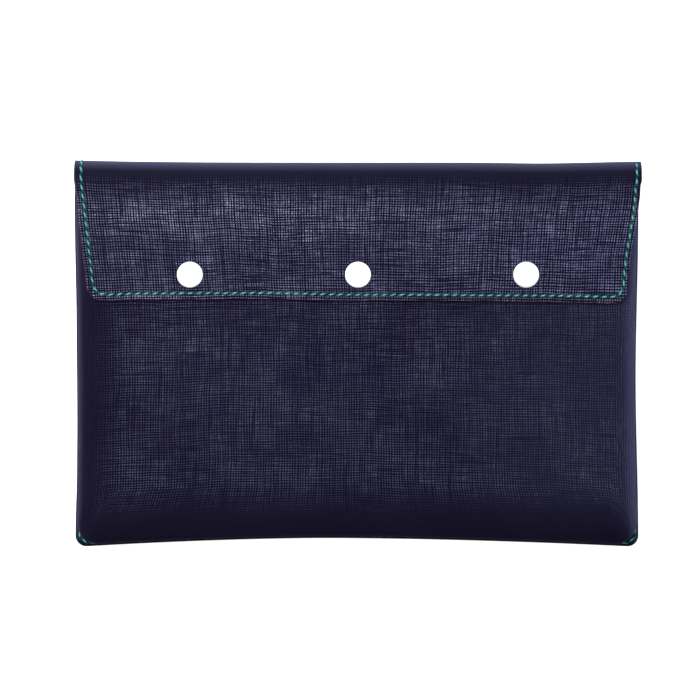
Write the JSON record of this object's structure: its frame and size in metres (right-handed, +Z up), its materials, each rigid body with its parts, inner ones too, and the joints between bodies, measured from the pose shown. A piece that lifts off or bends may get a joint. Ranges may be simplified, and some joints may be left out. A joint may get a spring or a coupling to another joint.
{
  "type": "cash deposit bag",
  "caption": "Flat envelope bag of textured navy leather for carrying cash; a fold-over flap with contrast stitching closes on white press snaps.",
  "frame": {"origin": "middle of the footprint, on the surface that the bag's back rests on", "axes": "+X across the bag's width, +Y from the bottom edge to the fold at the top, +Z up out of the front"},
  "size_m": [0.27, 0.185, 0.0197],
  "materials": {
    "navy_leather": "cross-hatch embossed, semi-gloss coating",
    "lining_suede": "short-nap microsuede",
    "stiffener_board": "dense grey-brown fibre board",
    "teal_thread": "bonded polyester sewing thread",
    "white_snap_plastic": "glossy moulded acetal"
  },
  "bodies": {
    "root": {"back_panel": "navy_leather", "back_stiffener": "stiffener_board", "back_lining": "lining_suede", "front_panel": "navy_leather", "front_lining": "lining_suede", "seam_stitching": "teal_thread", "mouth_stitching": "teal_thread", "snap_stud_left": "white_snap_plastic", "snap_stud_centre": "white_snap_plastic", "snap_stud_right": "white_snap_plastic", "snap_base_left": "white_snap_plastic", "snap_base_centre": "white_snap_plastic", "snap_base_right": "white_snap_plastic"},
    "fold_1": {"fold_leather_1": "navy_leather", "fold_lining_1": "lining_suede"},
    "fold_2": {"fold_leather_2": "navy_leather", "fold_lining_2": "lining_suede"},
    "flap": {"flap_panel": "navy_leather", "flap_stiffener": "stiffener_board", "flap_lining": "lining_suede", "flap_stitching": "teal_thread", "snap_cap_left": "white_snap_plastic", "snap_cap_centre": "white_snap_plastic", "snap_cap_right": "white_snap_plastic", "snap_socket_left": "white_snap_plastic", "snap_socket_centre": "white_snap_plastic", "snap_socket_right": "white_snap_plastic"}
  },
  "joints": [
    {"name": "flap_bend_1", "type": "hinge", "parent": "root", "child": "fold_1", "pos_m": [0, 0.08688, 0.0014], "axis": [-1, 0, 0], "range_deg": [0, 60]},
    {"name": "flap_bend_2", "type": "hinge", "parent": "fold_1", "child": "fold_2", "pos_m": [0, 0.09133, 0.0091], "axis": [-1, 0, 0], "range_deg": [0, 60]},
    {"name": "flap_bend_3", "type": "hinge", "parent": "fold_2", "child": "flap", "pos_m": [0, 0.08688, 0.0168], "axis": [-1, 0, 0], "range_deg": [0, 60]}
  ],
  "couplings": [
    {"joint": "flap_bend_2", "follows": "flap_bend_1", "ratio": 1},
    {"joint": "flap_bend_3", "follows": "flap_bend_1", "ratio": 1}
  ]
}
